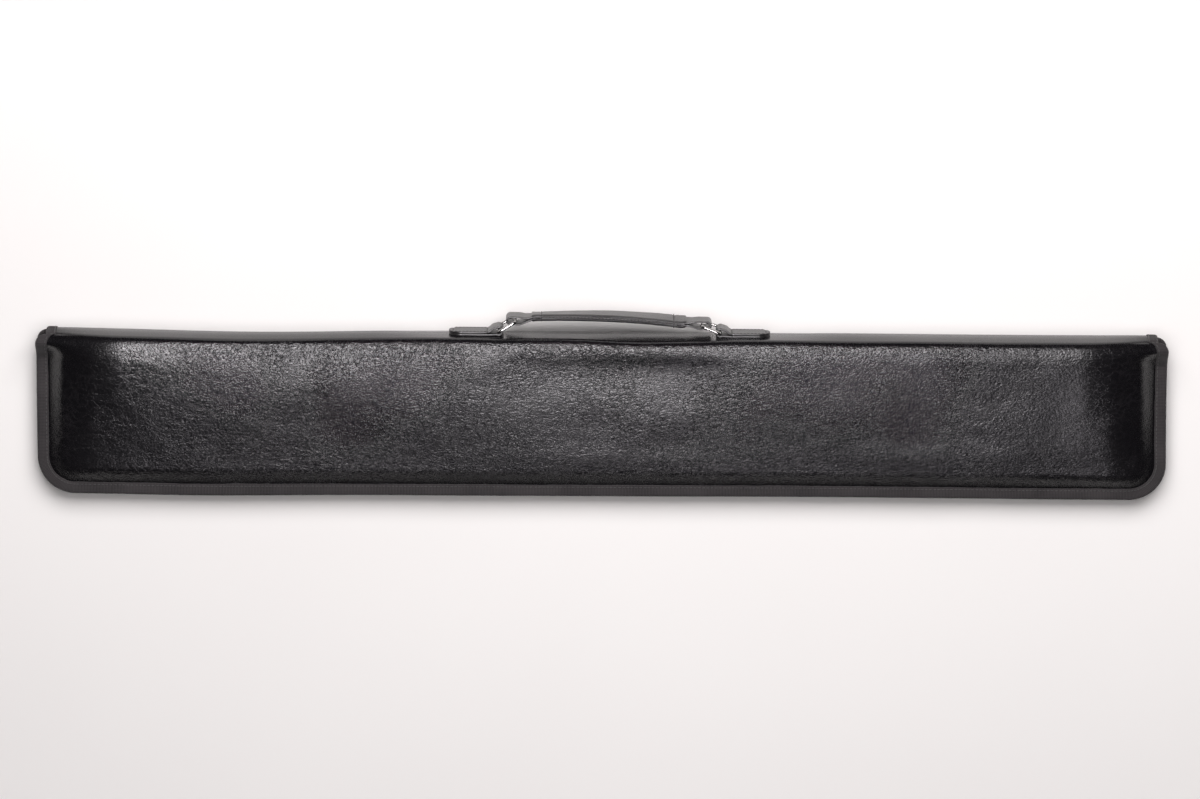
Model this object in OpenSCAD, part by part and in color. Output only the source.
// Zip-around folio cue case: two padded covers joined by a padded spine,
// a zip round three sides, and a strap handle hung on two wire rings.
// X runs along the case, +Y points out of the spine, +Z points up with the
// case lying on its back cover. The origin is the middle of the back cover's
// underside.

/* [Case] */
// Overall length of the case along X
case_len = 830; // [780:5:880]
// Width from the zip edge to the outer face of the spine
case_w = 125; // [118:1:135]
// Height of the closed case at the spine
spine_h = 42; // [40:1:48]
// Radius of the two zip-side corners in plan
corner_r = 29; // [24:1:34]
// Height of the raised panel where it turns down to the zip edge
low_h = 23; // [21:1:26]
// Width of the bound flange along the three zipped sides
bind_w = 8; // [7:0.5:9]

/* [Layers] */
// Thickness of the leatherette skin
skin_t = 1.2; // [1:0.1:1.4]
// Thickness of the foam padding
foam_t = 2.5; // [2:0.1:3]
// Thickness of the stiffener board
board_t = 1.0; // [0.8:0.1:1.2]
// Thickness of the fleece lining
lining_t = 0.6; // [0.5:0.1:0.8]
// Thickness of the woven edge binding
bind_t = 0.6; // [0.5:0.05:0.7]

/* [Handle] */
// Offset of the handle from the middle of the case along X
handle_x = 5.5; // [-10:0.5:10]
// Length of the padded grip
grip_len = 113; // [105:1:116]
// Width of the grip across the spine
grip_w = 22; // [21:0.5:22]
// Width of the strap and of its loops across the spine
strap_w = 20; // [18:0.5:20]
// Radius of the ring wire
wire_r = 1.15; // [1:0.05:1.2]
// Distance between the two cross bars of a ring
ring_len = 15; // [15:0.5:15]
// Angle the left ring stands off the spine
ring_l_deg = 31.5; // [31.5:0.5:31.5]
// Angle the right ring stands off the spine
ring_r_deg = 21.3; // [21.3:0.1:21.3]

/* [Zip] */
// Height of the open gap between the two bound edges
zip_gap = 6.4; // [6.4:0.1:7]
// Length of the pull tab
pull_len = 22; // [16:1:26]

/* [Hidden] */
layer_gap = 0.1;  // slip between neighbouring layers
slack = 0.05;     // clearance between parts that touch

// case outline
half_len = case_len / 2;
zip_y = -case_w / 2;
spine_y = case_w / 2;
mid_z = spine_h / 2;
corner_x = half_len - corner_r;
corner_y = zip_y + corner_r;

// creases where the covers meet the spine
crease_r = 3.5;
crease_y = spine_y - crease_r;
back_crease_z = crease_r;
front_crease_z = spine_h - crease_r;
back_crease_half = half_len - 4;
front_crease_half = half_len - 20;

// low edge of the raised panel
low_edge_half = half_len - 40;
low_edge_y = zip_y + 21;
low_edge_r = 6;

// flanges, bindings and zip
edge_end_y = spine_y - 7.5;      // flanges and bindings stop here
zip_end_y = spine_y - 12.5;
flange_w = bind_w + 1;
flange_t = 3;
panel_inset = bind_w + 0.2;      // panels start just inside the binding
back_flange_z = 0.8;
back_flange_top = back_flange_z + flange_t;
back_bind_top = back_flange_top + slack + bind_t;
front_flange_z = back_bind_top + zip_gap + bind_t + slack;
front_flange_top = front_flange_z + flange_t;
front_bind_z = front_flange_z - slack - bind_t;
zip_z = back_bind_top + zip_gap / 2;

// depths of the layers below the outer face
foam_depth = skin_t + layer_gap;
board_depth = foam_depth + foam_t + layer_gap;
lining_depth = board_depth + board_t + layer_gap;
inner_depth = lining_depth + lining_t;

// colours that several pieces share
cover_black = [0.04, 0.04, 0.045];
foam_grey = [0.35, 0.35, 0.36];
board_brown = [0.45, 0.38, 0.28];
lining_black = [0.08, 0.08, 0.09];
binding_black = [0.06, 0.06, 0.065];
tape_black = [0.03, 0.03, 0.03];
coil_black = [0.02, 0.02, 0.02];
loop_black = [0.05, 0.05, 0.06];
leather_black = [0.035, 0.035, 0.04];
thread_black = [0.1, 0.1, 0.1];
ring_silver = [0.75, 0.75, 0.76];

// ---------- shared shapes ----------
// Bare numbers in the cutting shapes are overshoot.

// plan of a cover, inset on the three zipped sides, ending at y = end_y
module plan(inset, end_y) {
  side_x = half_len - inset;
  translate([-side_x, corner_y]) square([2 * side_x, end_y - corner_y]);
  translate([-corner_x, zip_y + inset]) square([2 * corner_x, end_y - zip_y - inset]);
  for (s = [-1, 1])
    translate([s * corner_x, corner_y]) circle(r = corner_r - inset, $fn = 64);
}

// U-shaped strip of the plan between two insets; z0 and z1 in either order
module strip(outer, inner, z0, z1, end_y) {
  translate([0, 0, min(z0, z1)]) linear_extrude(abs(z1 - z0)) difference() {
    plan(outer, end_y);
    plan(inner, end_y + 20);
  }
}

// a rod along X
module rod(r, half, y, z, fn = 48) {
  translate([-half, y, z]) rotate([0, 90, 0]) cylinder(r = r, h = 2 * half, $fn = fn);
}

// folded woven tape round a flange lying at z0..z1
module binding(z0, z1) {
  wrap = slack + bind_t;
  difference() {
    strip(-wrap, bind_w, z0 - wrap, z1 + wrap, edge_end_y);
    strip(-slack, bind_w + 1, z0 - slack, z1 + slack, edge_end_y + 1);
  }
}

// tape on a bound face, with a lip standing toward the coil;
// side is 1 for the back cover and -1 for the front
module zip_tape(face_z, side) {
  inset = 4;
  tape_t = 0.5;
  lip_t = 0.6;
  lip_gap = 0.75; // from the lip's edge to the zip's middle height
  near = face_z + side * slack;
  strip(inset, flange_w + 1, near, near + side * tape_t, zip_end_y);
  strip(inset, inset + lip_t, near, zip_z - side * lip_gap, zip_end_y);
}

module zip_coil(side)
  strip(outer = 2.5, inner = 3.9, z0 = zip_z - side * 1.8, z1 = zip_z - side * 0.55,
        end_y = zip_end_y);

// half length of the spine at height z; it shortens toward the front crease
function spine_half(z) =
  back_crease_half - (back_crease_half - front_crease_half)
    / (front_crease_z - back_crease_z) * (z - back_crease_z);

// block with the spine's slanted ends, each end longer by extra
module spine_block(extra, z0, z1, y0, y1) {
  half0 = spine_half(z0) + extra;
  half1 = spine_half(z1) + extra;
  translate([0, y1, 0]) rotate([90, 0, 0]) linear_extrude(y1 - y0)
    polygon([[-half0, z0], [half0, z0], [half1, z1], [-half1, z1]]);
}

// rounded long edge of the raised panel at the given depth; once its radius
// is down to least_r the axis moves instead, down and toward y_side
module panel_edge(r, least_r, half, y, z, y_side, depth) {
  shift = max(0, depth - r + least_r);
  rod(max(least_r, r - depth), half - depth, y + y_side * shift, z - shift, 32);
}

// the raised front panel as one solid, shrunk by depth
module dome(depth) {
  drop = depth > 0 ? 2 : 0; // inner solids reach below the flange
  hull() {
    translate([0, 0, front_flange_z - drop])
      linear_extrude(max(0.5, flange_t - depth + drop)) intersection() {
        plan(panel_inset + depth, edge_end_y);
        // spans the whole plan and trims nothing
        square([4 * half_len, 4 * half_len], center = true);
      }
    panel_edge(r = crease_r, least_r = 0.2, half = front_crease_half,
               y = crease_y, z = front_crease_z, y_side = -1, depth = depth);
    panel_edge(r = low_edge_r, least_r = 0.4, half = low_edge_half,
               y = low_edge_y, z = low_h - low_edge_r, y_side = 1, depth = depth);
  }
}

// one layer of the front cover, cut clear of the spine and open below
module front_layer(depth, thickness) {
  difference() {
    dome(depth);
    dome(depth + thickness);
    spine_block(extra = 1.4, z0 = -5, z1 = front_crease_z - 0.35,
                y0 = spine_y - 6.6, y1 = spine_y + 20);
    spine_block(extra = 1.9, z0 = -6, z1 = front_crease_z - 5.3,
                y0 = spine_y - 16, y1 = spine_y + 21);
    translate([-2 * half_len, -half_len, front_flange_z - 20])
      cube([4 * half_len, 2 * half_len, 20]);
  }
}

// flat layer of the back cover
module back_layer(depth, thickness, inset, end_y) {
  translate([0, 0, depth]) linear_extrude(thickness) plan(inset, end_y);
}

// ---------- back cover ----------

module back_cover_skin() color(cover_black) {
  back_layer(0, skin_t, panel_inset, crease_y);
  strip(0, flange_w, back_flange_z, back_flange_top, edge_end_y);
  difference() {
    rod(crease_r, back_crease_half, crease_y, back_crease_z);
    rod(crease_r - skin_t, back_crease_half + 1, crease_y, back_crease_z);
  }
}

module back_cover_foam() color(foam_grey)
  back_layer(foam_depth, foam_t, flange_w + 1, edge_end_y);

module back_cover_board() color(board_brown)
  back_layer(board_depth, board_t, flange_w + 3, edge_end_y - 2);

module back_cover_lining() color(lining_black)
  back_layer(lining_depth, lining_t, flange_w + 1, edge_end_y);

module back_edge_binding() color(binding_black) binding(back_flange_z, back_flange_top);

module back_zip_tape() color(tape_black) zip_tape(back_bind_top, 1);

module back_zip_coil() color(coil_black) zip_coil(1);

// the crimped stops that end the zip on both short sides
module zip_end_stops() color([0.25, 0.25, 0.26])
  for (s = [-1, 1])
    translate([s * (half_len - 3.2), zip_end_y + 1.6, zip_z - 1.2])
      cube([2.6, 2.6, 2.2], center = true);

// ---------- holders inside the case ----------

loop_xs = [-270, 0, 270];
shaft_rows = [[-4, 7], [-27, 6]]; // y of the row, loop radius
seat_z = inner_depth + slack;     // holders stand on the lining here

// a sewn-down elastic arch, w wide along X, with two sewing feet;
// rise is the height of its axis above the lining
module arch(x, y, rise, r, w) {
  elastic_t = 0.9;
  foot_w = 5;
  axis_z = inner_depth + rise;
  // drawn with height along local X
  translate([x + w / 2, y, 0]) rotate([0, -90, 0]) linear_extrude(w) {
    difference() {
      union() {
        translate([axis_z, 0]) circle(r = r, $fn = 48);
        translate([seat_z, -r]) square([axis_z - seat_z, 2 * r]);
        translate([seat_z, -r - foot_w]) square([elastic_t, 2 * (r + foot_w)]);
      }
      translate([axis_z, 0]) circle(r = r - elastic_t, $fn = 48);
      translate([inner_depth - 1, -r + elastic_t]) square([rise + 1, 2 * (r - elastic_t)]);
      translate([-50, -60]) square([50 + seat_z, 120]);
    }
  }
}

module butt_loops() color(loop_black)
  for (x = loop_xs) arch(x, y = crease_y - 22, rise = 8, r = 14, w = 38);

module shaft_loops() color(loop_black)
  for (x = loop_xs, row = shaft_rows) arch(x, y = row[0], rise = 2.5, r = row[1], w = 30);

// half-round padded rib that keeps the butt off the shafts, broken at the loops
module divider_rib() color([0.09, 0.09, 0.1]) {
  break_len = 44;
  difference() {
    rod(r = 5, half = half_len - 60, y = 11, z = seat_z);
    translate([-2 * half_len, -50, -50]) cube([4 * half_len, 100, 50 + seat_z]);
    for (x = loop_xs) translate([x - break_len / 2, 4, 0]) cube([break_len, 16, 30]);
  }
}

// ---------- zip slider, on the left short side ----------

slider_at = [-half_len, zip_end_y - 5, zip_z];
slider_len = 9;
pin_at = [-0.1, 2.2, 0]; // pivot of the pull, from slider_at
pin_r = 0.45;
pin_h = 4.6;

// a slider plate at x, centred on the slider in Y and Z
module slider_plate(x, thickness, height)
  translate([x, -slider_len / 2, -height / 2]) cube([thickness, slider_len, height]);

module zip_slider() color([0.12, 0.12, 0.125]) translate(slider_at) {
  lug_t = 0.7;
  difference() {
    union() {
      slider_plate(x = 1.1, thickness = 1.0, height = 5.8);
      slider_plate(x = 4.9, thickness = 0.9, height = 4.4);
      // bridge between the plates
      translate([1.2, 1.5, -0.4]) cube([4.5, 3, 0.8]);
      // lugs that carry the pin
      for (s = [-1, 1]) translate([-0.7, 1.4, s * 2.1 - lug_t / 2]) cube([2.2, 1.6, lug_t]);
    }
    // bevels at the end away from the spine
    for (s = [-1, 1])
      translate([-1, -5.6, s * 3.6]) rotate([s * 25, 0, 0]) cube([8, 4, 1.6], center = true);
  }
  translate(pin_at - [0, 0, pin_h / 2]) cylinder(r = pin_r, h = pin_h, $fn = 24);
}

module zip_pull() color([0.14, 0.14, 0.145]) {
  blade_t = 0.8;
  blade_r = 2.4;  // half width of the blade and radius of its end
  blade_top = -3;
  eye_w = 3;
  end_y = blade_r - pull_len;
  translate(slider_at + pin_at) difference() {
    union() {
      translate([0, 0, -eye_w / 2]) cylinder(r = 1.0, h = eye_w, $fn = 32);
      // neck from the eye into the blade
      translate([-blade_t / 2, -4, -eye_w / 2]) cube([blade_t, 3.6, eye_w]);
      translate([-blade_t / 2, end_y, -blade_r])
        cube([blade_t, blade_top - end_y, 2 * blade_r]);
      translate([-blade_t / 2, end_y, 0]) rotate([0, 90, 0])
        cylinder(r = blade_r, h = blade_t, $fn = 32);
    }
    translate([0, 0, -3]) cylinder(r = pin_r + slack, h = 6, $fn = 24);
    // hole in the blade's free end
    translate([-2, end_y, 0]) rotate([0, 90, 0]) cylinder(r = 1.1, h = 4, $fn = 24);
  }
}

// ---------- spine ----------

// layer at a depth below the spine's outer face, cut clear of both creases;
// low and high are its distances from the back and front crease axes
module spine_layer(depth, thickness, low, high, extra = 0) {
  difference() {
    spine_block(extra, back_crease_z + low, front_crease_z - high,
                spine_y - depth - thickness, spine_y - depth);
    for (z = [back_crease_z, front_crease_z])
      rod(crease_r + layer_gap, half_len + 5, crease_y, z);
  }
}

module spine_skin() color([0.045, 0.045, 0.05])
  spine_layer(depth = 0, thickness = skin_t, low = 0, high = 1.9);

module spine_foam() color(foam_grey)
  spine_layer(depth = foam_depth, thickness = 2.4, low = 3.8, high = 3.8, extra = -0.5);

module spine_strip() color([0.5, 0.5, 0.5])
  spine_layer(depth = 3.8, thickness = 0.9, low = 4.5, high = 4.5, extra = -4);

module spine_lining() color(lining_black)
  spine_layer(depth = 4.8, thickness = 0.6, low = 4, high = 4, extra = -0.5);

// woven tape folded round the two slanted ends of the spine
module spine_end_bindings() color(binding_black) {
  inset = 4.2; // from the crease axes
  fold_w = 6;  // reach of the tape in from the ends
  low = back_crease_z - 2;
  high = front_crease_z + 2;
  difference() {
    spine_block(extra = 0.7, z0 = back_crease_z + inset, z1 = front_crease_z - inset,
                y0 = spine_y - 6.05, y1 = spine_y + 0.6);
    spine_block(slack, low, high, spine_y - 5.45, spine_y + slack);
    spine_block(-fold_w, low, high, spine_y - 10, spine_y + 10);
  }
}

// ---------- handle tabs ----------

tab_y = spine_y + slack;  // underside of both tabs
tab_strip_t = 1.5;        // one thickness of the folded strip
tab_top = tab_y + 2 * tab_strip_t;
tab_bore_r = 1.9;
tab_half_w = strap_w / 2 + 0.5;
tab_reach = 118;          // far end of a tab from the handle's middle
bar_x = 81.5;             // inner bars of both rings from the handle's middle
bar_y = tab_y + tab_strip_t + tab_bore_r;

// strip of leather folded round the inner bar of a ring, rounded far end;
// drawn for the left, side = -1 mirrors it to the right
module handle_tab(side) {
  round_x = tab_half_w - tab_reach;
  translate([handle_x, 0, 0]) scale([side, 1, 1]) difference() {
    intersection() {
      translate([0, 0, mid_z - tab_half_w]) linear_extrude(2 * tab_half_w) {
        polygon([[-tab_reach, tab_y], [-bar_x, tab_y], [-bar_x, bar_y],
                 [-bar_x - 1.6, bar_y + 2.9], [-92, tab_top], [-tab_reach, tab_top]]);
        translate([-bar_x, bar_y]) circle(r = tab_bore_r + tab_strip_t, $fn = 48);
      }
      union() {
        translate([round_x, tab_y - 1, mid_z]) rotate([-90, 0, 0])
          cylinder(r = tab_half_w, h = 20, $fn = 64);
        translate([round_x, tab_y - 1, mid_z - tab_half_w - 1])
          cube([80, 20, 2 * tab_half_w + 2]);
      }
    }
    translate([-bar_x, bar_y, mid_z - 40]) cylinder(r = tab_bore_r, h = 80, $fn = 48);
  }
}

module left_handle_tab() color(leather_black) handle_tab(1);
module right_handle_tab() color(leather_black) handle_tab(-1);

// stitches along both long edges of each tab
module tab_stitching() color(thread_black) {
  stitch = [2.4, 0.3, 0.6];
  pitch = 3.4;
  first_x = 108;
  row_z = 8.3;
  for (side = [-1, 1], row = [-1, 1], i = [0 : 4])
    translate([handle_x + side * (first_x - i * pitch), tab_top + stitch[1] / 2,
               mid_z + row * row_z])
      cube(stitch, center = true);
}

// ---------- front cover ----------

module front_cover_skin() color(cover_black) {
  front_layer(0, skin_t);
  strip(0, flange_w - 0.3, front_flange_z + 0.02, front_flange_top - 0.02, edge_end_y - 0.4);
}

module front_cover_foam() color(foam_grey) front_layer(foam_depth, foam_t);

// board only under the raised panel's top face
module front_cover_board() color(board_brown) {
  board_half = low_edge_half - 12;
  intersection() {
    front_layer(board_depth, board_t);
    translate([-board_half, low_edge_y + 4, low_h - 9])
      cube([2 * board_half, edge_end_y - low_edge_y - 6, spine_h]);
  }
}

module front_cover_lining() color(lining_black) front_layer(lining_depth, lining_t);

module front_edge_binding() color(binding_black) binding(front_flange_z, front_flange_top);

module front_zip_tape() color(tape_black) zip_tape(front_bind_z, -1);

module front_zip_coil() color(coil_black) zip_coil(-1);

// ---------- rings and handle ----------

ring_half_w = strap_w / 2 + 1 + wire_r;
// outer bars of the rings, from the handle's middle
left_bar = [-bar_x + ring_len * cos(ring_l_deg), bar_y + ring_len * sin(ring_l_deg)];
right_bar = [bar_x - ring_len * cos(ring_r_deg), bar_y + ring_len * sin(ring_r_deg)];
chord = right_bar - left_bar;
span = norm(chord);
arch_rise = 3; // rise of the handle's arch over the chord
arch_r = (span * span / 4 + arch_rise * arch_rise) / (2 * arch_rise);
strap_half_t = 1.0;
sleeve_half_t = 2.5;
sleeve_wall = 0.8;

// rectangular wire ring: two cross bars along Z joined by two side bars;
// inner bar at x, lying toward angle
module ring(x, angle) {
  translate([handle_x + x, bar_y, mid_z]) rotate([0, 0, angle]) {
    for (bar = [0, ring_len])
      translate([bar, 0, -ring_half_w]) cylinder(r = wire_r, h = 2 * ring_half_w, $fn = 32);
    for (s = [-1, 1]) {
      translate([0, 0, s * ring_half_w]) rotate([0, 90, 0])
        cylinder(r = wire_r, h = ring_len, $fn = 32);
      for (bar = [0, ring_len])
        translate([bar, 0, s * ring_half_w]) sphere(r = wire_r, $fn = 32);
    }
  }
}

module left_ring() color(ring_silver) ring(-bar_x, ring_l_deg);
module right_ring() color(ring_silver) ring(bar_x, 180 - ring_r_deg);

// places the handle's own frame: X along the chord between the outer bars
module on_handle() {
  middle = (left_bar + right_bar) / 2;
  translate([handle_x + middle[0], middle[1], mid_z])
    rotate([0, 0, atan2(chord[1], chord[0])]) children();
}

// arched band between x = -half and half
module band(half_t, half_w, half) {
  translate([0, arch_rise - arch_r, -half_w]) linear_extrude(2 * half_w) intersection() {
    difference() {
      circle(r = arch_r + half_t, $fn = 720);
      circle(r = arch_r - half_t, $fn = 720);
    }
    translate([-half, 0]) square([2 * half, 2 * arch_r]);
  }
}

// strap folded back on itself round the outer bar of each ring; the loops are
// slots, as a folded strap leaves a long eye
module handle_strap() color(leather_black) on_handle() {
  loop_r = 3.1;
  slot_r = 1.95;
  slot_len = 6;              // between the slot's end centres
  near_x = span / 2 - 2.3;   // slot end nearer the grip
  far_x = near_x + slot_len;
  mid_x = near_x + slot_len / 2;
  neck_x = span / 2 - 9;     // the loop tapers into the band here
  difference() {
    union() {
      band(strap_half_t, strap_w / 2, span / 2 - 3.4);
      translate([0, 0, -strap_w / 2]) linear_extrude(strap_w) for (s = [-1, 1]) {
        for (x = [near_x, far_x]) translate([s * x, 0]) circle(r = loop_r, $fn = 48);
        translate([s * mid_x - slot_len / 2, -loop_r]) square([slot_len, 2 * loop_r]);
        polygon([[s * near_x, -loop_r], [s * near_x, loop_r],
                 [s * neck_x, 1.6], [s * neck_x, -1.2]]);
      }
    }
    for (s = [-1, 1]) {
      for (x = [near_x, far_x])
        translate([s * x, 0, -20]) cylinder(r = slot_r, h = 40, $fn = 48);
      translate([s * mid_x - slot_len / 2, -slot_r, -20]) cube([slot_len, 2 * slot_r, 40]);
    }
  }
}

module grip_padding() color([0.3, 0.3, 0.3]) on_handle()
  difference() {
    band(sleeve_half_t - sleeve_wall - slack, grip_w / 2 - sleeve_wall - slack,
         grip_len / 2 - 1);
    band(strap_half_t + slack, strap_w / 2 + slack, grip_len);
  }

// leather sleeve closed round the padding
module grip_sleeve() color(leather_black) on_handle()
  difference() {
    band(sleeve_half_t, grip_w / 2, grip_len / 2);
    band(sleeve_half_t - sleeve_wall, grip_w / 2 - sleeve_wall, grip_len);
  }

// rows of thread across both ends of the grip
module handle_stitching() color(thread_black) on_handle() {
  row_x = grip_len / 2 - 6;
  pitch = 2.8;
  lift = 0.27; // thread centre above the sleeve
  row_y = arch_rise - arch_r + sqrt(arch_r * arch_r - row_x * row_x) + sleeve_half_t + lift;
  for (s = [-1, 1], i = [-3 : 3])
    translate([s * row_x, row_y, i * pitch])
      rotate([0, 0, -s * asin(row_x / arch_r)]) cube([0.6, 0.4, 2], center = true);
}

back_cover_skin();
back_cover_foam();
back_cover_board();
back_cover_lining();
back_edge_binding();
back_zip_tape();
back_zip_coil();
zip_end_stops();
butt_loops();
shaft_loops();
divider_rib();
zip_slider();
zip_pull();
spine_skin();
spine_foam();
spine_strip();
spine_lining();
spine_end_bindings();
left_handle_tab();
right_handle_tab();
tab_stitching();
front_cover_skin();
front_cover_foam();
front_cover_board();
front_cover_lining();
front_edge_binding();
front_zip_tape();
front_zip_coil();
left_ring();
right_ring();
handle_strap();
grip_padding();
grip_sleeve();
handle_stitching();
